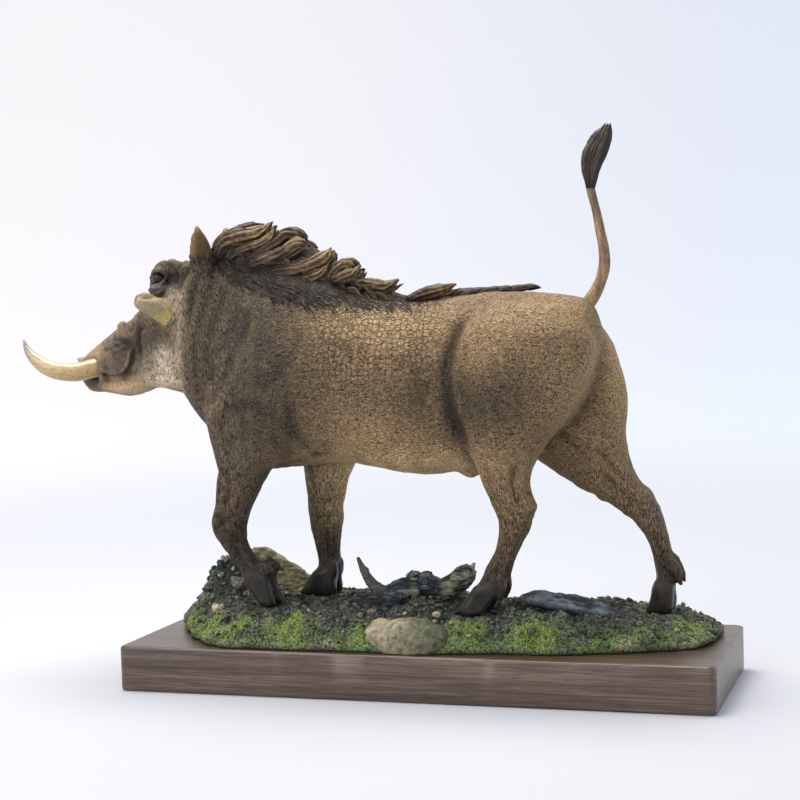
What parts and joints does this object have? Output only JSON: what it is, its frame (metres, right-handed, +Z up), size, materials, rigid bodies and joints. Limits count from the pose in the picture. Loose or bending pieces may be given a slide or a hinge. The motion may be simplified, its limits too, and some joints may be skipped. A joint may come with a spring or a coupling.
{
  "type": "warthog figurine",
  "caption": "Walking warthog with raised tail, S-shaped mane locks and curved tusks, standing on a mossy ground cast glued to a wooden plinth.",
  "frame": {"origin": "centre of the plinth's underside", "axes": "+Z up, +X along the plinth from the animal's nose towards its tail, +Y to the animal's right side; the animal faces -X"},
  "size_m": [0.3025, 0.088, 0.2306],
  "materials": {
    "stained_wood": "dark walnut stain, satin",
    "painted_ground": "cast resin painted as soil with green flock moss, matt",
    "painted_hide": "cast resin painted grey-brown over golden tan, satin-matt",
    "painted_tail": "cast resin painted tan, dark at the tuft",
    "painted_ivory": "cast resin painted ivory with a grey-white tip, satin"
  },
  "bodies": {
    "root": {"plinth": "stained_wood", "ground": "painted_ground", "warthog": "painted_hide", "tail": "painted_tail", "tusk_left": "painted_ivory", "tusk_right": "painted_ivory"}
  },
  "joints": []
}
